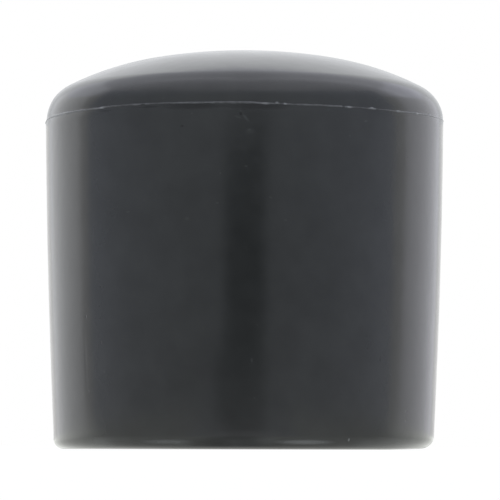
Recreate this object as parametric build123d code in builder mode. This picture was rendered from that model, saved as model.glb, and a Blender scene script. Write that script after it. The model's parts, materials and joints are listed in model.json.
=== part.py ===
"""Domed push-on end cap that covers the outside of a round tube.

One black plastic moulding. Its mould parts in a ring around the shoulder: the side wall below
the seam bows gently in towards the mouth, and the dome above it is three arcs in tangent.

Frame: origin at the centre of the mouth, +Z up through the crown. Millimetres and degrees.
"""

import os
from math import cos, radians

from build123d import *

# ---------------------------------------------------------------- driving dimensions

# Socket that grips the tube
tube_diameter = 25.0  # outside diameter of the tube that the cap covers
grip_squeeze = 0.2  # how much narrower the socket is than the tube, on diameter
socket_depth = 24.0  # mouth to the flat floor that stops the tube
floor_bevel = 0.5  # in the socket's corner, small, so that the tube's end still meets the floor
lead_in_height = 2.0  # flared mouth that centres the tube
lead_in_width = 0.35  # how far the flare opens, on radius

# Side wall
mouth_wall = 1.83  # thickness at the mouth
seam_wall = 2.6  # thickness at the mould seam, where the cap is widest
wall_bow = 0.12  # how far the wall bulges past a straight taper, half way up
rim_radius = 1.0  # rounded outer edge that the cap stands on
rim_flat_share = 0.3  # least share of the rim's width that stays flat to stand on

# Mould seam, a fine raised line between the side wall and the dome
seam_above_floor = 0.65  # height of the seam over the socket's floor
seam_height = 0.12
seam_proud = 0.03  # how far the line stands out from the wall
mould_step = 0.04  # the dome's half of the mould is this much smaller, on radius

# Dome
shoulder_radius = 2.7
shoulder_sweep = 62.5  # degrees that the shoulder turns in from upright
flank_radius = 21.5
flank_sweep = 17.0  # degrees that the flank turns before the flatter crown takes over

# ---------------------------------------------------------------- worked-out sizes

socket_radius = (tube_diameter - grip_squeeze) / 2
mouth_radius = socket_radius + mouth_wall
seam_radius = socket_radius + seam_wall
dome_radius = seam_radius - mould_step
seam_middle = socket_depth + seam_above_floor
seam_bottom = seam_middle - seam_height / 2
seam_top = seam_middle + seam_height / 2
crown_sweep = 90 - shoulder_sweep - flank_sweep

rim_round = min(rim_radius, (1 - rim_flat_share) * (mouth_wall - lead_in_width))

# ---------------------------------------------------------------- the cap

with BuildPart() as end_cap:
    # Outside: half of the cap's section, turned about its axis
    with BuildSketch(Plane.XZ):
        with BuildLine():
            base = Line((0, 0), (mouth_radius, 0))
            side = SagittaArc(base @ 1, (seam_radius, seam_bottom), -wall_bow)
            seam_crest = (seam_radius + seam_proud, seam_middle)
            seam = Polyline(side @ 1, seam_crest, (dome_radius, seam_top))
            shoulder = JernArc(seam @ 1, (0, 1), shoulder_radius, shoulder_sweep)
            flank = JernArc(shoulder @ 1, shoulder % 1, flank_radius, flank_sweep)
            # The crown's centre is on the axis, so its radius follows from where it starts
            crown_radius = (flank @ 1).X / cos(radians(shoulder_sweep + flank_sweep))
            crown = JernArc(flank @ 1, flank % 1, crown_radius, crown_sweep)
            Line(crown @ 1, base @ 0)
        section = make_face()
        fillet(section.vertices().group_by(Axis.Y)[0].sort_by(Axis.X)[-1], rim_round)
    revolve(axis=Axis.Z)

    # Socket: a straight blind bore with a flat floor, bevelled into its corner
    with BuildSketch():
        Circle(socket_radius)
    extrude(amount=socket_depth, mode=Mode.SUBTRACT)
    socket_floor = end_cap.faces().filter_by(Plane.XY).sort_by(Axis.Z)[-1]
    chamfer(socket_floor.edges(), floor_bevel)

    # Lead-in: a long shallow chamfer round the mouth
    bore_wall = end_cap.faces().filter_by(GeomType.CYLINDER)[0]
    mouth_edge = bore_wall.edges().sort_by(Axis.Z)[0]
    chamfer(mouth_edge, lead_in_height, lead_in_width, reference=bore_wall)

end_cap.part.label = "end_cap"

# ---------------------------------------------------------------- export

os.makedirs("parts", exist_ok=True)
export_step(end_cap.part, "parts/end_cap.step")
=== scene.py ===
# %% [markdown]
# # A domed end cap for a round tube
#
# The cap is one black plastic moulding, 30 mm across. It pushes over the outside of a tube: a
# straight socket inside, a side wall that bows in towards the mouth, and a shallow dome on top.
# The mould parts in a ring round the shoulder, and a thin line of trimmed flash is left there.
#
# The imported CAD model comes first. It is the frame that every piece has to fit, in metres, with
# the origin at the centre of the mouth and +Z up through the crown.

# %% Load the frame
import json
from math import atan2, cos, degrees, pi, radians, sin, sqrt, tan

import bmesh
import bpy
from mathutils import Matrix, Vector, noise


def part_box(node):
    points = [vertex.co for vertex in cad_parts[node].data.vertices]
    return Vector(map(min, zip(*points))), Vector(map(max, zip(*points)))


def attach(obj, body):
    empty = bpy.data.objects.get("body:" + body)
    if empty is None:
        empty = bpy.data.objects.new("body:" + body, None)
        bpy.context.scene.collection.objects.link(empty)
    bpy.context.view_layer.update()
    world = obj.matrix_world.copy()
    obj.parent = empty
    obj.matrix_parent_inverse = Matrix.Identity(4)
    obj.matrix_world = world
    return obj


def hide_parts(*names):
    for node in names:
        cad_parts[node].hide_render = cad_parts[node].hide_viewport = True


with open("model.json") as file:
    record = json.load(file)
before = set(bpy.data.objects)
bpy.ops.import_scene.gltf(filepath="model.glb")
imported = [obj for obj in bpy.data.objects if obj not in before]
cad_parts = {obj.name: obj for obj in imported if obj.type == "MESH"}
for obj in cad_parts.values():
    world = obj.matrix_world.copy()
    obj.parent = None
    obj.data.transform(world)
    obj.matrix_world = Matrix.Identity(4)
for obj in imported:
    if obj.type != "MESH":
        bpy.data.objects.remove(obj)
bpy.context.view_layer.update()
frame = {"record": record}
MM = 0.001
low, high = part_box("end_cap")
print("CAD box in mm:", [round((high - low)[i] / MM, 3) for i in range(3)])

# %% [markdown]
# ## The drawing's sizes
#
# A moulding like this is drawn as one outline that is turned about the axis. The socket's sizes
# come from the record, which gives them for whoever mates a tube with it. The outside sizes are
# the ones that the CAD model is driven by.

# %% Sizes in millimetres
mounts = {mount["name"]: mount for mount in frame["record"]["mounts"]}
socket_radius = mounts["socket"]["dims"]["r_mm"]
lead_in_height = mounts["socket"]["pos_m"][2] / MM
socket_depth = mounts["tube_stop"]["pos_m"][2] / MM
lead_in_width = 0.35
mouth_break = 0.1
floor_bevel = 0.5

mouth_radius = 14.23
seam_radius = 15.0
rim_round = 1.0
wall_bow = 0.12
seam_middle = 24.65
seam_height = 0.12
mould_step = 0.04

shoulder_radius, shoulder_sweep = 2.7, 62.5
flank_radius, flank_sweep = 21.5, 17.0
print("socket", socket_radius, "mm radius,", round(socket_depth, 3), "mm deep")

# %% [markdown]
# ## Drawing an outline with operators
#
# In the editor, a lathe outline is made by extruding a vertex for a straight run and by spinning
# it about a centre for an arc. The same two operators work here, so the outline is made of true
# arcs and each one starts where the last one ended.

# %% Pen for the outline
TURN_AXIS = (0, 1, 0)


def run_to(outline, tip, r, z, steps=1):
    """Extrude the tip of the outline in a straight run to (r, z)."""
    stride = (Vector((r, 0, z)) * MM - tip.co) / steps
    for _ in range(steps):
        tip = bmesh.ops.extrude_vert_indiv(outline, verts=[tip])["verts"][0]
        bmesh.ops.translate(outline, verts=[tip], vec=stride)
    return tip


def arc_about(outline, tip, centre_r, centre_z, sweep, steps):
    """Spin the tip of the outline about a centre, anticlockwise seen with +Z up."""
    made = bmesh.ops.spin(outline, geom=[tip], axis=TURN_AXIS, angle=-radians(sweep),
                          cent=(centre_r * MM, 0, centre_z * MM), steps=steps)
    return [part for part in made["geom_last"] if isinstance(part, bmesh.types.BMVert)][0]


# %% [markdown]
# ## The outline itself
#
# It starts at the centre of the socket's floor, runs down the bore and round the rim, climbs the
# outside and ends on top of the dome. The side wall is part of a very large circle, because it
# bows out by only 0.12 mm. Where two arcs meet they share a tangent, as on the real part. The
# edge between the lead-in and the rim is broken by 0.1 mm, because steel can't mould it sharp.

# %% Where the arcs have their centres
seam_bottom = seam_middle - seam_height / 2
seam_top = seam_middle + seam_height / 2
chord = Vector((seam_radius - mouth_radius, seam_bottom))
wall_radius = (chord.length ** 2 / 4 + wall_bow ** 2) / (2 * wall_bow)
to_centre = Vector((-chord.y, chord.x)).normalized() * (wall_radius - wall_bow)
wall_centre = Vector((mouth_radius, 0)) + chord / 2 + to_centre

rim_centre_r = wall_centre.x + sqrt(
    (wall_radius - rim_round) ** 2 - (wall_centre.y - rim_round) ** 2)
rim_centre = Vector((rim_centre_r, rim_round))
wall_start = degrees(atan2(rim_centre.y - wall_centre.y, rim_centre.x - wall_centre.x))
wall_end = degrees(atan2(seam_bottom - wall_centre.y, seam_radius - wall_centre.x))
lead_in_lean = atan2(lead_in_width, lead_in_height)
tangent = mouth_break * tan((pi / 2 - lead_in_lean) / 2)
print("side wall radius", round(wall_radius, 1), "mm, leaning", round(wall_start, 2),
      "to", round(wall_end, 2), "degrees")

# %% Draw it
body = bmesh.new()
tip = body.verts.new((0, 0, socket_depth * MM))
tip = run_to(body, tip, socket_radius - floor_bevel, socket_depth, steps=8)
tip = run_to(body, tip, socket_radius, socket_depth - floor_bevel, steps=2)
tip = run_to(body, tip, socket_radius, lead_in_height, steps=16)
tip = run_to(body, tip, socket_radius + lead_in_width - tangent * sin(lead_in_lean),
             tangent * cos(lead_in_lean), steps=3)
tip = arc_about(body, tip, socket_radius + lead_in_width + tangent, mouth_break,
                90 - degrees(lead_in_lean), steps=4)
tip = run_to(body, tip, rim_centre.x, 0, steps=2)
tip = arc_about(body, tip, *rim_centre, 90 + wall_start, steps=12)
tip = arc_about(body, tip, *wall_centre, wall_end - wall_start, steps=48)
tip = run_to(body, tip, seam_radius - mould_step, seam_top)

shoulder_centre = Vector((seam_radius - mould_step - shoulder_radius, seam_top))
tip = arc_about(body, tip, *shoulder_centre, shoulder_sweep, steps=18)
lean = radians(shoulder_sweep)
flank_centre = shoulder_centre - (flank_radius - shoulder_radius) * Vector((cos(lean), sin(lean)))
tip = arc_about(body, tip, *flank_centre, flank_sweep, steps=12)
lean = radians(shoulder_sweep + flank_sweep)
crown_radius = (tip.co.x / MM) / cos(lean)
crown_centre_z = tip.co.z / MM - crown_radius * sin(lean)
tip = arc_about(body, tip, 0, crown_centre_z, 90 - shoulder_sweep - flank_sweep, steps=16)
print("outline of", len(body.verts), "points, crown", round(tip.co.z / MM, 3), "mm high")

# %% [markdown]
# ## Turning the outline
#
# One spin about the axis makes the whole skin, inside and out. A spin gets slow when it has many
# steps, because every step looks through the whole mesh, so one slice of the turn is spun and the
# slice is then copied round. The points where the slices meet, and the heap of points that the
# spin leaves on the axis, are merged, and then the faces are turned outwards.

# %% Spin a slice, copy it round and close it
SLICES = 12


def turn_round(section, steps):
    """Turn the section that a bmesh holds about Z into one closed skin."""
    about_z = {"axis": (0, 0, 1), "cent": (0, 0, 0)}
    bmesh.ops.spin(section, geom=section.verts[:] + section.edges[:], angle=2 * pi / SLICES,
                   steps=steps // SLICES, **about_z)
    bmesh.ops.spin(section, geom=section.verts[:] + section.edges[:] + section.faces[:],
                   angle=2 * pi * (SLICES - 1) / SLICES, steps=SLICES - 1, use_duplicate=True,
                   **about_z)
    bmesh.ops.remove_doubles(section, verts=section.verts[:], dist=0.001 * MM)
    bmesh.ops.recalc_face_normals(section, faces=section.faces[:])
    print("skin of", len(section.faces), "faces, open edges:",
          sum(not edge.is_manifold for edge in section.edges))


turn_round(body, steps=360)

# %% [markdown]
# ## Where the mould parts
#
# The two halves of a mould never meet in a perfect ring. The line climbs and drops by up to
# 0.15 mm round the cap, which is enough to catch the eye because the line is so thin. Its
# height is set at a few stations round the cap, with a soft change between them.

# %% Height of the parting line round the cap
# Degrees to the right of the front, and millimetres above the drawn height
seam_stations = [(-180, 0.0), (-90, -0.15), (-76, -0.05), (-48, -0.03), (-38, 0.04), (-22, 0.04),
                 (-12, 0.01), (2, -0.01), (6, -0.07), (16, -0.10), (38, -0.12), (50, -0.13),
                 (66, -0.04), (92, 0.07), (180, 0.0)]
print("the parting line wanders by", max(abs(height) for _, height in seam_stations), "mm")


def smooth_step(value, start, end):
    """Soft ramp from 0 at the start to 1 at the end."""
    share = min(max((value - start) / (end - start), 0.0), 1.0)
    return share * share * (3 - 2 * share)


def at_angle(stations, angle):
    """Value at an angle round the cap, with a soft change from one station to the next."""
    for (start, low_end), (end, high_end) in zip(stations, stations[1:]):
        if angle <= end:
            return low_end + (high_end - low_end) * smooth_step(angle, start, end)
    return stations[-1][1]


def around(point):
    """Angle of a point about the axis, in degrees to the right of the front."""
    return degrees(atan2(point.x, -point.y))


# %% [markdown]
# ## The moulding's slight unevenness
#
# Plastic shrinks as it cools, so a wall that was cut true in the mould comes out with a few
# micrometres of waviness. It can't be measured by eye, but it makes the edges of every
# reflection wander. Moving the points is better than a bump pattern here, because it is
# smooth and it is part of the mesh itself. The points near the parting line follow it up
# and down. The rim has shrunk unevenly too: on the right it is lifted off the table by less than
# a tenth of a millimetre, and on the left its rounded corner is tighter. The half of the mould
# that made the dome also sat a hair to the right of the other half.

# %% Waviness, the wandering seam and the uneven rim
rim_lift = [(-180, 0.0), (48, 0.0), (80, 0.07), (110, 0.07), (150, 0.0), (180, 0.0)]
rim_tighter = [(-180, 0.0), (-150, 0.0), (-105, 0.27), (-75, 0.27), (-40, 0.0), (180, 0.0)]
RIM_REACH = 1.5  # height over which the lift at the rim dies out
WAVE_LENGTH = 4.5
WAVE_TALLNESS = 1.3
WAVE_DEPTH = 0.008
WAVE_START, WAVE_FULL = 0.3, 2.0  # heights between which the waviness sets in
DOME_SHARE = 0.4  # how much of the waviness the dome has
DOME_REACH = 1.5  # height over which it falls to that share
SEAM_REACH = 2.0  # how far from the parting line the wall still follows it
MISMATCH = 0.015  # how far to the right the dome's half of the mould sat
RIM_MIDDLE, UNDER_CROWN = 0.75, 0.2  # what lies within these of the socket is left true


def waviness(spot):
    """Depth in mm at a spot given in mm: long soft waves, a little taller than wide."""
    waves = Vector((spot.x / WAVE_LENGTH, spot.y / WAVE_LENGTH,
                    spot.z / (WAVE_TALLNESS * WAVE_LENGTH)))
    return WAVE_DEPTH * noise.fractal(waves, 1.0, 2.0, 2, noise_basis="PERLIN_ORIGINAL")


moved = 0.0
body.normal_update()
for vert in body.verts:
    spot = vert.co / MM
    angle = around(spot)
    vert.co.z += at_angle(rim_lift, angle) * (1 - smooth_step(spot.z, 0, RIM_REACH)) * MM
    if spot.xy.length < socket_radius + RIM_MIDDLE and spot.z < socket_depth + UNDER_CROWN:
        continue
    from_centre = Vector((spot.xy.length, spot.z)) - rim_centre
    if from_centre.y < 0:
        lean = from_centre.normalized()
        tighter = at_angle(rim_tighter, angle)
        vert.co.xy *= 1 + tighter * (1 - lean.x) / spot.xy.length
        vert.co.z -= tighter * (1 + lean.y) * MM
    on_dome = smooth_step(spot.z, seam_top, seam_top + DOME_REACH)
    depth = waviness(spot) * smooth_step(spot.z, WAVE_START, WAVE_FULL)
    depth *= 1 - (1 - DOME_SHARE) * on_dome
    vert.co += vert.normal * depth * MM
    nearness = 1 - smooth_step(abs(spot.z - seam_middle), seam_height, SEAM_REACH)
    vert.co.z += at_angle(seam_stations, angle) * nearness * MM
    vert.co.x += MISMATCH * smooth_step(spot.z, seam_middle, seam_top) * MM
    moved = max(moved, abs(depth))
print("largest waviness", round(moved * 1000, 1), "micrometres")

# %% Make the body an object
def finish_piece(name, work, sharp_angle=40):
    """Turn a bmesh into a smooth-shaded piece that rides on the cap's one body."""
    for edge in work.edges:
        edge.smooth = edge.calc_face_angle(0) < radians(sharp_angle)
    for face in work.faces:
        face.smooth = True
    mesh = bpy.data.meshes.new(name)
    work.to_mesh(mesh)
    work.free()
    piece = bpy.data.objects.new(name, mesh)
    bpy.context.scene.collection.objects.link(piece)
    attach(piece, "root")
    print(name, "has", sum(len(face.vertices) - 2 for face in mesh.polygons), "triangles")
    return piece


cap = finish_piece("cap_body", body)
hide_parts("end_cap")

# %% [markdown]
# ## The trimmed flash
#
# Where the two halves of the mould meet, a hair of plastic squeezes out. It is trimmed or
# tumbled off, and what is left is a thin ragged line. It is a ring with a rounded section that
# is let into the wall by half of its thickness, turned in fine steps so that it can be ragged.
# It runs calm for a stretch and rougher for another, and at the two sides it was trimmed close.
# A few spots were torn instead of cut: there the plastic stands out, and is stretched and pale.
# The table of spots holds the stretches first and the torn spots after them.

# %% Ring for the flash
flash = bmesh.new()
bmesh.ops.create_circle(flash, segments=12, radius=seam_height / 2 * MM)
bmesh.ops.rotate(flash, verts=flash.verts[:], cent=(0, 0, 0),
                 matrix=Matrix.Rotation(radians(90), 3, "X"))
bmesh.ops.translate(flash, verts=flash.verts[:], vec=(seam_radius * MM, 0, seam_middle * MM))
turn_round(flash, steps=1800)

# %% Make it ragged
# Angle and half width in degrees, how much thicker, millimetres higher, how pale from 0 to 1
flash_spots = [(-84.0, 12.0, -0.45, 0.00, 0.60), (-66.0, 10.0, 0.20, 0.00, 0.44),
               (-48.5, 4.0, 0.00, 0.00, 0.10), (-37.0, 6.5, -0.10, 0.00, 0.02),
               (-23.5, 6.0, -0.05, 0.00, 0.06), (-13.0, 6.0, 0.00, 0.00, 0.16),
               (-3.0, 6.5, 0.25, 0.00, 0.12), (13.8, 2.6, -0.10, 0.00, 0.08),
               (22.5, 6.0, 0.00, 0.00, 0.12), (33.8, 3.4, -0.35, 0.00, 0.00),
               (42.5, 3.5, -0.35, 0.00, 0.00), (46.0, 1.8, -0.15, 0.00, 0.05),
               (52.5, 4.0, -0.10, 0.00, 0.14), (61.5, 5.0, -0.10, 0.00, 0.18),
               (84.0, 18.0, -0.50, 0.00, 0.60),
               (-43.3, 1.2, 0.15, 0.00, 0.48), (-29.0, 1.0, -0.50, 0.02, 0.00),
               (5.6, 1.2, 0.20, 0.00, 0.37), (8.9, 0.6, 0.30, 0.07, 0.34),
               (10.1, 0.6, -0.35, 0.00, 0.00), (11.2, 0.6, 0.25, 0.01, 0.44),
               (28.2, 0.6, -0.50, 0.00, 0.00), (30.0, 0.9, 0.20, 0.00, 0.48),
               (37.7, 0.9, 0.30, 0.04, 0.38), (39.8, 0.9, -0.60, 0.00, 0.00),
               (48.0, 0.7, 0.25, 0.00, 0.42), (57.2, 0.6, 0.40, 0.00, 0.50),
               (65.5, 0.6, 0.40, 0.03, 0.50), (112.0, 1.5, 0.30, 0.00, 0.50),
               (163.0, 1.0, 0.20, 0.03, 0.45), (-138.0, 2.0, 0.20, -0.02, 0.50),
               (-104.0, 0.8, 0.30, 0.02, 0.50), (-87.0, 2.5, 0.65, 0.00, 0.60)]
FLASH_PROUD = 0.032
MEAN_THICKNESS, RAGGEDNESS, FINE_SHARE = 0.98, 0.25, 0.6
MEAN_PALE, PALE_CHANGE = 0.17, 0.15
LIFT_CHANGE = 0.014
# Bumps in a stretch of the ring as long as its radius, so that 26 is one bump in 0.6 mm
COARSE, FINE, STRETCHED, WANDERING = 26, 75, 9, 40
SPOT_CORE = 0.3  # share of a spot's half width that has the whole effect
whitened = flash.verts.layers.float.new("whitening")
for vert in flash.verts:
    angle = around(vert.co)
    out = Vector((vert.co.x, vert.co.y, 0)).normalized()
    section_out = vert.co.xy.length / MM - seam_radius
    section_up = vert.co.z / MM - seam_middle
    ragged = noise.noise(out * COARSE) + FINE_SHARE * noise.noise(out * FINE)
    thickness = MEAN_THICKNESS + RAGGEDNESS * ragged
    pale = MEAN_PALE + PALE_CHANGE * noise.noise(out * STRETCHED)
    lift = LIFT_CHANGE * noise.noise(out * WANDERING)
    for spot_angle, half_width, thicker, higher, paler in flash_spots:
        near = 1 - smooth_step(abs(angle - spot_angle), SPOT_CORE * half_width, half_width)
        thickness += thicker * near
        lift += higher * near
        pale += (paler - pale) * near
    radius = seam_radius + section_out * FLASH_PROUD / (seam_height / 2) * thickness
    height = seam_middle + at_angle(seam_stations, angle) + lift + section_up * thickness
    vert.co = Vector((out.x * radius, out.y * radius, height)) * MM
    vert[whitened] = min(max(pale, 0.0), 1.0)
seam_line = finish_piece("seam_flash", flash)

# %% [markdown]
# ## Colours and nodes
#
# Colours are written as sRGB hex, as a paint card gives them, and one function turns them into
# the linear values that a shader needs. One more function adds a node with its settings and
# links, so that a material reads as a list of what it is made of.

# %% Helpers for materials
def linear(hex_colour):
    """Linear RGBA of an sRGB hex colour such as #1E2022."""
    channels = [int(hex_colour[i:i + 2], 16) / 255 for i in (1, 3, 5)]
    return [c / 12.92 if c <= 0.04045 else ((c + 0.055) / 1.055) ** 2.4 for c in channels] + [1]


def node(tree, kind, settings=None, out=0, **sockets):
    """Add a node and return one of its outputs; sockets are numbers, colours or other outputs.

    A socket is named with _ for a space, or by its place in the list, such as _0, where the
    same name comes more than once.
    """
    made = tree.nodes.new(kind)
    for name, value in (settings or {}).items():
        setattr(made, name, value)
    for name, value in sockets.items():
        socket = made.inputs[int(name[1:]) if name[0] == "_" else name.replace("_", " ")]
        if isinstance(value, bpy.types.NodeSocket):
            tree.links.new(value, socket)
        else:
            socket.default_value = value
    return made.outputs[out] if len(made.outputs) else None


def new_material(name):
    """A material with nothing in it yet, and its node tree."""
    material = bpy.data.materials.new(name)
    material.use_nodes = True
    material.node_tree.nodes.clear()
    return material, material.node_tree


# %% [markdown]
# ## Black moulded plastic
#
# The cap is low-density polyethylene coloured with carbon black, moulded against polished
# steel. That gives the eye a deep neutral black under a clear gloss that is a little soft, so a
# reflection keeps its shape but not its edge. Three things keep it from looking like paint: the
# gloss changes a little where the melt flowed, the skin has a very fine orange peel, and the
# surface has the nicks and dust of a part that lay loose in a box of others.
#
# Every pattern is set in millimetres. The colour and the roughness come from soft noise, and
# the shape of the skin is worked out as one height in micrometres, which a single Bump node
# turns into shading.

# %% Skin of the plastic: cloudiness, flow and orange peel
material, tree = new_material("moulded_ldpe_black")
metres = node(tree, "ShaderNodeTexCoord", out="Object")
spot = node(tree, "ShaderNodeVectorMath", {"operation": "SCALE"}, _0=metres, Scale=1 / MM)

cloud = node(tree, "ShaderNodeTexNoise", Vector=spot, Scale=1 / 2.5, Detail=3.0)
flow = node(tree, "ShaderNodeTexNoise", Vector=spot, Scale=1 / 1.6, Detail=3.0)
peel = node(tree, "ShaderNodeTexNoise", Vector=spot, Scale=1 / 0.8, Detail=1.0)
grain = node(tree, "ShaderNodeTexNoise", Vector=spot, Scale=1 / 0.16, Detail=1.0)

# %% [markdown]
# ## Nicks, scuffs, painted highlights and painted shade
#
# The clearest marks are listed one by one. A Mapping node set to Texture squeezes space round a
# mark until the mark is a ball of radius 1, whatever its size and slant, and the distance from
# its centre then says how strong it is. A pit pulls the height down, and a mark's tone makes it
# paler above 0 and darker below 0. Two pale arcs low on the rim are painted highlights, and the
# dark band just under the seam is painted shade below the flash. Both sums grow as the loop adds
# one mark after another.

# %% Marks listed one by one
# Degrees to the right, height, half width, half height (mm), slant, depth (micrometres), tone
marks = [(-17.2, 23.0, 0.18, 0.09, 0, 8, -0.9), (42.5, 6.5, 0.12, 0.32, 0, 4, -0.5),
         (0.5, 20.1, 0.17, 0.08, 0, 0, 0.16), (-7.4, 17.5, 0.16, 0.09, 0, 9, 0.08),
         (7.4, 17.9, 0.20, 0.09, 20, 7, 0.08), (11.6, 16.3, 0.18, 0.10, 0, 9, 0.06),
         (-34.1, 17.0, 0.22, 0.08, 0, 6, 0.10), (-15.9, 16.4, 0.24, 0.18, 0, 0, 0.07),
         (-45.6, 19.5, 0.20, 0.08, 0, 6, 0.06), (25.9, 11.7, 0.22, 0.07, 0, 10, 0.0),
         (-51.6, 9.6, 0.10, 0.22, 0, 8, 0.05), (-44.6, 11.7, 0.12, 0.12, 0, 8, 0.0),
         (-45.1, 7.7, 0.12, 0.12, 0, 8, 0.0), (2.3, 6.3, 0.11, 0.22, 0, 5, 0.10),
         (35.0, 4.2, 0.10, 0.20, 0, 8, 0.0), (35.7, 23.6, 0.20, 0.08, -15, 5, 0.15),
         (-59.4, 3.7, 0.15, 0.15, 0, 10, 0.08), (32.0, 0.7, 0.12, 0.16, 0, 10, 0.9),
         (55.4, 2.8, 0.14, 0.10, 0, 6, 0.15), (55.4, 2.1, 0.14, 0.10, 0, 6, 0.15),
         (-1.0, 24.25, 0.13, 0.42, 0, 0, 0.16), (-1.7, 23.6, 0.40, 0.10, 20, 0, 0.09),
         (0.4, 23.55, 0.14, 0.50, -42, 0, 0.12), (-1.0, 23.85, 0.12, 0.20, -30, 0, -0.5),
         (1.6, 22.6, 0.50, 0.32, 0, 0, 0.05), (1.4, 22.7, 0.16, 0.12, 0, 0, 0.08),
         (-52.2, 6.6, 0.22, 3.2, -2, 3, 0.03),
         # The two pale arcs on the rim here are painted highlights.
         (-23.0, 0.51, 2.6, 0.24, 0, 0, 0.4), (18.0, 0.51, 3.2, 0.24, 0, 0, 0.7),
         # The dark marks on this line and the next are painted shade just under the seam.
         (-27.0, 24.47, 1.1, 0.10, 0, 0, -0.8), (-42.3, 24.40, 0.8, 0.09, 0, 0, -0.8),
         (-14.0, 24.43, 3.4, 0.36, 0, 0, -0.85), (3.0, 24.38, 3.4, 0.36, 0, 0, -0.85)]
MARK_REACH = 0.6  # half size through the skin, more than any mark is deep
depth = 0.0
tone = 0.0
for angle, height, half_width, half_height, slant, deep, change in marks:
    radius = seam_radius - (seam_radius - mouth_radius) * (1 - height / seam_middle)
    centre = Matrix.Rotation(radians(angle), 3, "Z") @ Vector((0, -radius, 0))
    centre.z = height
    ball = node(tree, "ShaderNodeMapping", {"vector_type": "TEXTURE"}, Vector=spot,
                Location=centre, Rotation=(0, radians(slant), radians(angle)),
                Scale=(half_width, MARK_REACH, half_height))
    away = node(tree, "ShaderNodeVectorMath", {"operation": "LENGTH"}, out="Value", _0=ball)
    strength = node(tree, "ShaderNodeMapRange", {"interpolation_type": "SMOOTHSTEP"}, Value=away,
                    From_Min=1.0, From_Max=0.2)
    if deep:
        depth = node(tree, "ShaderNodeMath", {"operation": "MULTIPLY_ADD"}, _0=strength,
                     _1=float(deep), _2=depth)
    if change:
        tone = node(tree, "ShaderNodeMath", {"operation": "MULTIPLY_ADD"}, _0=strength,
                    _1=change, _2=tone)
print(len(marks), "marks placed by hand")

# %% [markdown]
# ## Dust, the worn rim and its painted sheen
#
# The rest of the cap gets a few pale specks from a Voronoi pattern, whose cells each hold one
# point. A random number per cell keeps most of them bare. The outer edge of the rim is where
# the cap is stood on and slid about, so the skin is worn dull and pale there in short arcs.
# That pale wear is partly a painted sheen too, where the low round of the rim looks down at the
# bright table.

# %% Specks, worn rim with painted sheen, and the finished shader
SPECK_SPACING, SPECK_RADIUS = 1.6, 0.07
cell = {"Vector": spot, "Scale": 1 / SPECK_SPACING}
from_speck = node(tree, "ShaderNodeTexVoronoi", **cell)
kind_of_speck = node(tree, "ShaderNodeTexVoronoi", out="Color", **cell)
kind_of_speck = node(tree, "ShaderNodeSeparateColor", Color=kind_of_speck)
speck = node(tree, "ShaderNodeMapRange", {"interpolation_type": "SMOOTHSTEP"}, Value=from_speck,
             From_Min=SPECK_RADIUS / SPECK_SPACING, From_Max=0.3 * SPECK_RADIUS / SPECK_SPACING)
dust = node(tree, "ShaderNodeMath", {"operation": "MULTIPLY"}, _0=speck, _1=kind_of_speck)
tone = node(tree, "ShaderNodeMath", {"operation": "MULTIPLY_ADD"}, _0=dust, _1=0.25, _2=tone)
depth = node(tree, "ShaderNodeMath", {"operation": "MULTIPLY_ADD"}, _0=speck, _1=6.0, _2=depth)

height = node(tree, "ShaderNodeSeparateXYZ", out="Z", Vector=spot)
on_rim = node(tree, "ShaderNodeMapRange", {"interpolation_type": "SMOOTHSTEP"}, Value=height,
              From_Min=0.95, From_Max=0.55)
above_foot = node(tree, "ShaderNodeMapRange", {"interpolation_type": "SMOOTHSTEP"},
                  Value=height, From_Min=0.02, From_Max=0.25)
arcs = node(tree, "ShaderNodeTexNoise", Vector=spot, Scale=1 / 4.0, Detail=1.0)
arcs = node(tree, "ShaderNodeMapRange", Value=arcs, From_Min=0.5, From_Max=0.75)
# Worn pale in short arcs on the rim: partly wear and partly painted sheen.
rubbed_and_sheen = node(tree, "ShaderNodeMath", {"operation": "MULTIPLY"}, _0=on_rim, _1=above_foot)
rubbed_and_sheen = node(tree, "ShaderNodeMath", {"operation": "MULTIPLY"}, _0=rubbed_and_sheen, _1=arcs)
tone = node(tree, "ShaderNodeMath", {"operation": "MULTIPLY_ADD"}, _0=rubbed_and_sheen, _1=0.3, _2=tone)
paleness_and_sheen = node(tree, "ShaderNodeClamp", Value=tone)
darkness_and_shade = node(tree, "ShaderNodeMath", {"operation": "MULTIPLY", "use_clamp": True}, _0=tone,
                _1=-1.0)

black = node(tree, "ShaderNodeMix", {"data_type": "RGBA"}, out=2, _0=cloud,
             _6=linear("#1B1D1C"), _7=linear("#2C2E2D"))
# Darker towards near black below 0: under the seam this is painted shade.
black = node(tree, "ShaderNodeMix", {"data_type": "RGBA"}, out=2, _0=darkness_and_shade, _6=black,
             _7=linear("#050606"))
# Paler above 0: scuffs and dust, and painted highlight and sheen on the rim.
colour = node(tree, "ShaderNodeMix", {"data_type": "RGBA"}, out=2, _0=paleness_and_sheen, _6=black,
              _7=linear("#6A6D6B"))
gloss = node(tree, "ShaderNodeMapRange", Value=flow, From_Min=0.3, From_Max=0.7, To_Min=0.15,
             To_Max=0.19)
gloss = node(tree, "ShaderNodeMath", {"operation": "MULTIPLY_ADD"}, _0=paleness_and_sheen, _1=0.25,
             _2=gloss)
relief = node(tree, "ShaderNodeMath", {"operation": "MULTIPLY"}, _0=peel, _1=6.0)
relief = node(tree, "ShaderNodeMath", {"operation": "MULTIPLY_ADD"}, _0=grain, _1=0.5, _2=relief)
relief = node(tree, "ShaderNodeMath", {"operation": "SUBTRACT"}, _0=relief, _1=depth)
normal = node(tree, "ShaderNodeBump", Strength=1.0, Distance=0.001 * MM, Height=relief)
skin = node(tree, "ShaderNodeBsdfPrincipled", Base_Color=colour, Roughness=gloss, IOR=1.5,
            Normal=normal)
node(tree, "ShaderNodeOutputMaterial", Surface=skin)
cap.data.materials.append(material)
print(material.name, "has", len(tree.nodes), "nodes")

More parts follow.
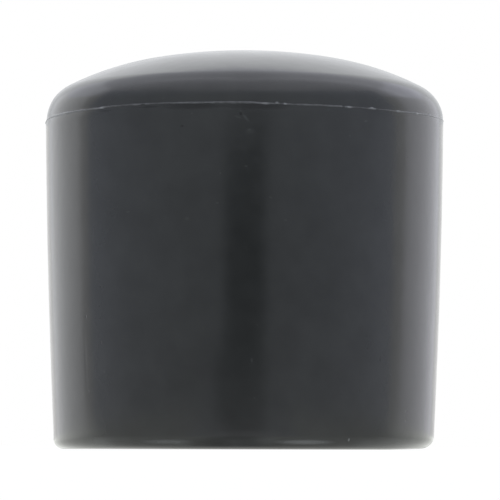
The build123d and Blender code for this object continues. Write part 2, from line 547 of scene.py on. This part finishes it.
# %% [markdown]
# ## Torn and trimmed polyethylene
#
# Flash is the same plastic, but it was cut or torn and not pressed against steel. A cut leaves
# it dull, and stretching turns black polyethylene grey, most of all at the torn spots. How pale
# it is was stored on the ring's points when it was made ragged, and the material reads it back.

# %% Trimmed flash
material, tree = new_material("trimmed_ldpe_flash")
stretched = node(tree, "ShaderNodeAttribute", {"attribute_name": "whitening"}, out="Fac")
metres = node(tree, "ShaderNodeTexCoord", out="Object")
fuzz = node(tree, "ShaderNodeTexNoise", Vector=metres, Scale=1 / (0.2 * MM), Detail=2.0)
pale = node(tree, "ShaderNodeMath", {"operation": "MULTIPLY_ADD"}, _0=fuzz, _1=0.4, _2=-0.2)
pale = node(tree, "ShaderNodeMath", {"operation": "ADD", "use_clamp": True}, _0=pale,
            _1=stretched)
colour = node(tree, "ShaderNodeMix", {"data_type": "RGBA"}, out=2, _0=pale,
              _6=linear("#2E3031"), _7=linear("#8D9091"))
normal = node(tree, "ShaderNodeBump", Strength=1.0, Distance=0.01 * MM, Height=fuzz)
skin = node(tree, "ShaderNodeBsdfPrincipled", Base_Color=colour, Roughness=0.32, IOR=1.5,
            Normal=normal)
node(tree, "ShaderNodeOutputMaterial", Surface=skin)
seam_line.data.materials.append(material)
print(material.name, "has", len(tree.nodes), "nodes")

# %% [markdown]
# ## The table
#
# The cap stands on a white acrylic table. To the camera the table is nearly pure white, by a
# share of emission at strength 1, and the rest is a plain white surface that keeps the cap's
# soft shadow. Glossy rays see it as white too, a little greyer in front of the cap, where the
# grey wall keeps the light off. Its polish matters, because the lower half of the cap's wall
# looks down at it and sees the room mirrored there.

# %% White table
KEPT_SHADOW = 0.07
TABLE_HALF_WIDTH = 6
table = bmesh.new()
bmesh.ops.create_grid(table, x_segments=1, y_segments=1, size=TABLE_HALF_WIDTH)
mesh = bpy.data.meshes.new("table")
table.to_mesh(mesh)
table.free()
table = bpy.data.objects.new("table", mesh)
bpy.context.scene.collection.objects.link(table)
material, tree = new_material("white_acrylic_sheet")
to_camera = node(tree, "ShaderNodeLightPath", out="Is Camera Ray")
mirrored = node(tree, "ShaderNodeMath", {"operation": "MAXIMUM"},
                _0=node(tree, "ShaderNodeLightPath", out="Is Glossy Ray"),
                _1=node(tree, "ShaderNodeLightPath", out="Is Transmission Ray"))
share = node(tree, "ShaderNodeMath", {"operation": "MULTIPLY_ADD"}, _0=to_camera,
             _1=1 - KEPT_SHADOW, _2=mirrored)
lit = node(tree, "ShaderNodeBsdfDiffuse", Color=linear("#F2F2F2"))
towards_room = node(tree, "ShaderNodeTexCoord", out="Object")
towards_room = node(tree, "ShaderNodeSeparateXYZ", out="Y", Vector=towards_room)
glow = node(tree, "ShaderNodeMapRange", {"interpolation_type": "SMOOTHSTEP"}, Value=towards_room,
            From_Min=-45 * MM, From_Max=-15 * MM, To_Min=0.6, To_Max=1.0)
glow = node(tree, "ShaderNodeMath", {"operation": "MAXIMUM"}, _0=glow, _1=to_camera)
white = node(tree, "ShaderNodeEmission", Color=(1, 1, 1, 1), Strength=glow)
sheet = node(tree, "ShaderNodeMixShader", _0=share, _1=lit, _2=white)
polish = node(tree, "ShaderNodeBsdfGlossy", Color=(1, 1, 1, 1), Roughness=0.05)
grazing = node(tree, "ShaderNodeFresnel", IOR=1.5)
grazing = node(tree, "ShaderNodeMath", {"operation": "MULTIPLY"}, _0=grazing, _1=node(
    tree, "ShaderNodeMath", {"operation": "SUBTRACT"}, _0=1.0, _1=to_camera))
sheet = node(tree, "ShaderNodeMixShader", _0=grazing, _1=sheet, _2=polish)
node(tree, "ShaderNodeOutputMaterial", Surface=sheet)
table.data.materials.append(material)
print("table keeps", KEPT_SHADOW, "of the cap's shadow")

# %% [markdown]
# ## The room
#
# A small glossy black part is mostly made of what it reflects, so the room is built round it as
# a product photographer would do it: a white room all round, a large softbox on each side,
# bright sheets overhead and behind, a grey wall on the camera's side that keeps the front dark,
# and the camera itself, which shows as a black band down the middle of the cap. The room lights
# at 0.8 and is seen at 1, which is white.

# %% White room
world = bpy.data.worlds.new("white_room")
bpy.context.scene.world = world
world.use_nodes = True
tree = world.node_tree
tree.nodes.clear()
seen = node(tree, "ShaderNodeMath", {"operation": "MAXIMUM"},
            _0=node(tree, "ShaderNodeLightPath", out="Is Camera Ray"),
            _1=node(tree, "ShaderNodeLightPath", out="Is Glossy Ray"))
seen = node(tree, "ShaderNodeMath", {"operation": "MAXIMUM"}, _0=seen,
            _1=node(tree, "ShaderNodeLightPath", out="Is Transmission Ray"))
ROOM_LIGHT = 0.8
level = node(tree, "ShaderNodeMapRange", Value=seen, To_Min=ROOM_LIGHT, To_Max=1.0)
room = node(tree, "ShaderNodeBackground", Color=(1, 1, 1, 1), Strength=level)
node(tree, "ShaderNodeOutputWorld", Surface=room)
print("room lights at", ROOM_LIGHT)

# %% [markdown]
# ## Softboxes
#
# An area lamp's power is spread over its face, so a lamp of twice the size needs twice the
# power to look as bright. The function below takes the brightness and works the power out. A
# lamp lets the room behind it through, so what the cap sees there is the lamp and the room
# added together. Both are a little blue, as daylight tubes are.

# %% Softboxes
def place(azimuth, distance, height):
    """A point at an angle to the right of the camera's side, in metres."""
    turn = radians(azimuth)
    return Vector((sin(turn) * distance, -cos(turn) * distance, height))


def softbox(name, spot, aim, width, height, radiance, colour):
    """A lamp of a given size and brightness that the camera doesn't see."""
    lamp = bpy.data.lights.new(name, "AREA")
    lamp.shape = "RECTANGLE"
    lamp.size, lamp.size_y = width, height
    lamp.energy = radiance * pi * width * height
    lamp.color = linear(colour)[:3]
    holder = bpy.data.objects.new(name, lamp)
    holder.location = spot
    holder.rotation_euler = (aim - spot).to_track_quat("-Z", "Y").to_euler()
    holder.visible_camera = False
    bpy.context.scene.collection.objects.link(holder)
    print(name, "gives", round(lamp.energy, 2), "W")


BOX_DISTANCE, BOX_HEIGHT, BOX_RADIANCE = 0.6, 0.58, 0.62
for side, start, end, tint in (("left", -106, -154.3, "#F6F9FF"),
                               ("right", 103, 154.3, "#ECEDFF")):
    width = 2 * BOX_DISTANCE * sin(radians(abs(end - start) / 2))
    middle = BOX_HEIGHT / 2
    softbox("softbox_" + side, place((start + end) / 2, BOX_DISTANCE, middle),
            Vector((0, 0, middle)), width, BOX_HEIGHT, BOX_RADIANCE, tint)

# %% [markdown]
# ## Cards
#
# The walls, the sheet overhead and the camera are cards of emission, because what matters is how
# bright they look in the reflection. The camera's rays pass through them. A card's brightness
# changes smoothly over it, as on a real sheet that is lit from one side, so one function makes
# the card and each card says how its own brightness runs:
#
# - the grey wall is brighter and bluer towards the softboxes, and even higher up;
# - the sheet overhead has a bright band across it, over the cap, bent back at its ends like the
#   edge of a light tent, and is dimmer in front of the band, at the back and at the left;
# - the sheet behind leans in over the cap and is brightest at its top, and a strip at its foot,
#   even and bright, is what the wall shows at its very edges;
# - the camera and its foot are out of focus in the gloss, so their cards fade out sideways.

# %% A card that glows
def add_card(name, work, colour, grade, solid=None):
    """Make a bmesh a card that the camera's rays pass through.

    grade(tree, spot) is its brightness, and solid(tree, spot) says where it isn't see-through.
    """
    mesh = bpy.data.meshes.new(name)
    work.to_mesh(mesh)
    work.free()
    card = bpy.data.objects.new(name, mesh)
    card.visible_camera = False
    bpy.context.scene.collection.objects.link(card)
    material, tree = new_material(name)
    spot = node(tree, "ShaderNodeTexCoord", out="Object")
    if callable(colour):
        colour = colour(tree, spot)
    else:
        colour = linear(colour)
    glow = node(tree, "ShaderNodeEmission", Color=colour, Strength=grade(tree, spot))
    if solid:
        glow = node(tree, "ShaderNodeMixShader", _0=solid(tree, spot),
                    _1=node(tree, "ShaderNodeBsdfTransparent"), _2=glow)
    node(tree, "ShaderNodeOutputMaterial", Surface=glow)
    card.data.materials.append(material)
    print(name, "is", [round(side, 3) for side in card.dimensions], "m")
    return card


def curved_card(radius, start, end, bottom, top, lean=0.0):
    """An upright strip round the cap, from one azimuth to another."""
    work = bmesh.new()
    foot = work.verts.new(place(start, radius, bottom))
    head = work.verts.new(place(start, radius + lean, top))
    edge = work.edges.new((foot, head))
    bmesh.ops.spin(work, geom=[foot, head, edge], axis=(0, 0, 1), cent=(0, 0, 0),
                   angle=radians(end - start), steps=48)
    return work


# %% Grey wall on the camera's side
WALL_RADIUS, WALL_TOP = 0.5, 0.44


def wall_grade(tree, spot):
    to_right = node(tree, "ShaderNodeSeparateXYZ", out="X", Vector=spot)
    beside = node(tree, "ShaderNodeSeparateXYZ", out="Y", Vector=spot)
    height = node(tree, "ShaderNodeSeparateXYZ", out="Z", Vector=spot)
    beside = node(tree, "ShaderNodeMapRange", Value=beside, From_Min=-0.95 * WALL_RADIUS,
                  From_Max=-0.05 * WALL_RADIUS, To_Min=0.56, To_Max=0.86)
    to_right = node(tree, "ShaderNodeMapRange", Value=to_right, From_Min=0.4 * WALL_RADIUS,
                    From_Max=WALL_RADIUS, To_Max=0.06)
    high = node(tree, "ShaderNodeMapRange", Value=height, From_Min=0.28, From_Max=WALL_TOP,
                To_Min=0.75, To_Max=0.97)
    share = node(tree, "ShaderNodeMapRange", Value=height, From_Min=0.03, From_Max=0.09)
    level = node(tree, "ShaderNodeMix", _0=share, _2=beside, _3=high)
    return node(tree, "ShaderNodeMath", {"operation": "ADD"}, _0=level, _1=to_right)


def wall_colour(tree, spot):
    away = node(tree, "ShaderNodeVectorMath", {"operation": "DISTANCE"}, out="Value", _0=spot,
                _1=place(-14, WALL_RADIUS, 0))
    away = node(tree, "ShaderNodeMapRange", Value=away, From_Min=0.2, From_Max=0.75)
    return node(tree, "ShaderNodeMix", {"data_type": "RGBA"}, out=2, _0=away,
                _6=linear("#EDF2FA"), _7=linear("#EAEFFF"))


add_card("grey_wall", curved_card(WALL_RADIUS, -100, 95, 0, WALL_TOP), wall_colour, wall_grade)

# %% Sheets overhead and behind
OVERHEAD, OVERHEAD_HALF_WIDTH = Vector((0, 0.05, 0.65)), 1.1
work = bmesh.new()
bmesh.ops.create_grid(work, x_segments=1, y_segments=1, size=OVERHEAD_HALF_WIDTH)
bmesh.ops.translate(work, verts=work.verts[:], vec=OVERHEAD)


def overhead_grade(tree, spot):
    behind = node(tree, "ShaderNodeSeparateXYZ", out="Y", Vector=spot)
    to_right = node(tree, "ShaderNodeSeparateXYZ", out="X", Vector=spot)
    beside = node(tree, "ShaderNodeMath", {"operation": "ABSOLUTE"}, _0=to_right)
    past_band = node(tree, "ShaderNodeMath", {"operation": "MULTIPLY_ADD"}, _0=beside, _1=-0.6,
                     _2=0.12)
    past_band = node(tree, "ShaderNodeMath", {"operation": "ADD"}, _0=past_band, _1=behind)
    level = node(tree, "ShaderNodeMapRange", Value=past_band, From_Min=-0.6, From_Max=0,
                 To_Min=1.16, To_Max=1.68)
    back = node(tree, "ShaderNodeMapRange", Value=past_band, From_Max=0.36, To_Max=-0.32)
    right = node(tree, "ShaderNodeMapRange", Value=to_right, From_Max=0.15, To_Max=0.25)
    sides = node(tree, "ShaderNodeMapRange", Value=beside, From_Min=0.4, From_Max=0.65,
                 To_Max=-0.2)
    band = node(tree, "ShaderNodeMath", {"operation": "ABSOLUTE"}, _0=past_band)
    band = node(tree, "ShaderNodeMapRange", {"interpolation_type": "SMOOTHSTEP"}, Value=band,
                From_Min=0.17, From_Max=0.0, To_Max=0.34)
    left_end = node(tree, "ShaderNodeMapRange", Value=to_right, From_Min=-0.42, From_Max=-0.25)
    band = node(tree, "ShaderNodeMath", {"operation": "MULTIPLY"}, _0=band, _1=left_end)
    for extra in back, right, sides, band:
        level = node(tree, "ShaderNodeMath", {"operation": "ADD"}, _0=level, _1=extra)
    return level


add_card("overhead_sheet", work, "#F4F5FF", overhead_grade)


def back_grade(tree, spot):
    height = node(tree, "ShaderNodeSeparateXYZ", out="Z", Vector=spot)
    return node(tree, "ShaderNodeMapRange", Value=height, From_Min=0.05, From_Max=0.54,
                To_Min=1.0, To_Max=1.7)


BACK_RADIUS, BACK_TOP = 0.68, 0.645
FOOT_RADIUS, FOOT_TOP, FOOT_LEVEL = 0.65, 0.09, 1.22
add_card("back_sheet", curved_card(BACK_RADIUS, 148, 212, 0.05, BACK_TOP, lean=-0.11), "#FAFCFF",
         back_grade)
add_card("sheet_foot", curved_card(FOOT_RADIUS, 153.5, 206.5, 0, FOOT_TOP), "#FFFFFF",
         lambda *_: FOOT_LEVEL)

# %% The camera and its foot
def fade_out(middle, full, none):
    """A card that is solid near x = middle and is gone further out, in metres."""
    def solid(tree, spot):
        beside = node(tree, "ShaderNodeSeparateXYZ", out="X", Vector=spot)
        beside = node(tree, "ShaderNodeMath", {"operation": "SUBTRACT"}, _0=beside, _1=middle)
        beside = node(tree, "ShaderNodeMath", {"operation": "ABSOLUTE"}, _0=beside)
        return node(tree, "ShaderNodeMapRange", {"interpolation_type": "SMOOTHSTEP"},
                    Value=beside, From_Min=none, From_Max=full)
    return solid


CAMERA_RADIUS, CAMERA_TOP = 0.4, 0.045
STAND_RADIUS, STAND_TOP = 0.075, 0.0035
add_card("black_camera", curved_card(CAMERA_RADIUS, -18, 18, 0, CAMERA_TOP), "#000000",
         lambda *_: 0.0, fade_out(0.004, 0.049, 0.107))
add_card("camera_foot", curved_card(STAND_RADIUS, -20, 10, 0, STAND_TOP), "#646668",
         lambda *_: 1.0, fade_out(-0.006, 0.008, 0.0185))

# %% [markdown]
# ## Cards lying on the table
#
# The round of the rim looks down at the table right beside it. Two thin cards lie there: a white
# one round the sides and back throws light at the rim, more of it on the left, and a grey one in
# front is as dark as the table is where the cap keeps both softboxes off it. The last
# half-millimetre under the rim glows in both, because acrylic passes light on inside the sheet.

# %% Bounce card and grey card
CARD_START, CARD_LIFT = 13.4 * MM, 0.02 * MM
GLOW_END, GLOW_GONE = 13.75 * MM, 13.9 * MM


def under_rim(tree, spot, elsewhere, glow):
    """The table glows right under the rim, and is as bright as elsewhere further out."""
    out = node(tree, "ShaderNodeVectorMath", {"operation": "LENGTH"}, out="Value", _0=spot)
    share = node(tree, "ShaderNodeMapRange", Value=out, From_Min=GLOW_END, From_Max=GLOW_GONE)
    return node(tree, "ShaderNodeMix", _0=share, _2=glow, _3=elsewhere)


def bounce_grade(tree, spot):
    behind = node(tree, "ShaderNodeSeparateXYZ", out="Y", Vector=spot)
    far_out = node(tree, "ShaderNodeVectorMath", {"operation": "LENGTH"}, out="Value", _0=spot)
    soft = {"interpolation_type": "SMOOTHSTEP"}
    near_cap = node(tree, "ShaderNodeMapRange", soft, Value=behind, From_Min=-12 * MM,
                    From_Max=-7 * MM, To_Min=1.0, To_Max=1.45)
    open_table = node(tree, "ShaderNodeMapRange", soft, Value=behind, From_Min=-12 * MM,
                      From_Max=0, To_Min=0.85, To_Max=1.7)
    far_out = node(tree, "ShaderNodeMapRange", soft, Value=far_out, From_Min=15 * MM,
                   From_Max=22 * MM)
    level = node(tree, "ShaderNodeMix", _0=far_out, _2=near_cap, _3=open_table)
    to_left = node(tree, "ShaderNodeSeparateXYZ", out="X", Vector=spot)
    gain = node(tree, "ShaderNodeMapRange", Value=to_left, From_Min=4 * MM, From_Max=-6 * MM,
                To_Min=0.98, To_Max=1.05)
    level = node(tree, "ShaderNodeMath", {"operation": "MULTIPLY"}, _0=level, _1=gain)
    glow = node(tree, "ShaderNodeMapRange", Value=to_left, From_Min=4 * MM, From_Max=-6 * MM,
                To_Min=1.14, To_Max=1.33)
    return under_rim(tree, spot, level, glow)


def grey_grade(tree, spot):
    beside = node(tree, "ShaderNodeSeparateXYZ", out="X", Vector=spot)
    beside = node(tree, "ShaderNodeMath", {"operation": "ADD"}, _0=beside, _1=0.65 * MM)
    beside = node(tree, "ShaderNodeMath", {"operation": "ABSOLUTE"}, _0=beside)
    level = node(tree, "ShaderNodeMapRange", {"interpolation_type": "SMOOTHSTEP"}, Value=beside,
                 From_Min=0.6 * MM, From_Max=4.4 * MM, To_Min=0.5, To_Max=1.0)
    return under_rim(tree, spot, level, 1.2)


for name, start, end, wide, grade in (("bounce_card", 22, 338, 30, bounce_grade),
                                      ("grey_card", -22, 22, 5, grey_grade)):
    strip = curved_card(CARD_START, start, end, CARD_LIFT, CARD_LIFT, lean=wide * MM)
    card = add_card(name, strip, "#FAFCF8", grade)
    card.visible_shadow = False
    card.visible_diffuse = False

# %% [markdown]
# ## The camera
#
# A long lens, level with the table and tipped up a little, so that the dome shows as a shallow
# arc and the rim as a nearly straight line. Its clip start has to be small, because the camera
# is only a quarter of a metre from the cap.

# %% Camera
TIPPED_UP, ROLLED = radians(3.34), 0.0025
camera = bpy.data.objects.new("camera", bpy.data.cameras.new("camera"))
bpy.context.scene.collection.objects.link(camera)
camera.data.lens = 240.8
camera.data.sensor_width = 36
camera.data.clip_start = 0.01
camera.location = (0.43 * MM, -251.87 * MM, 0.3 * MM)
camera.rotation_euler = (Matrix.Rotation(pi / 2 + TIPPED_UP, 4, "X")
                         @ Matrix.Rotation(ROLLED, 4, "Z")).to_euler()
bpy.context.scene.camera = camera
bpy.context.scene.view_settings.view_transform = "Standard"
print("camera is", round(camera.location.length / MM), "mm from the cap's foot")
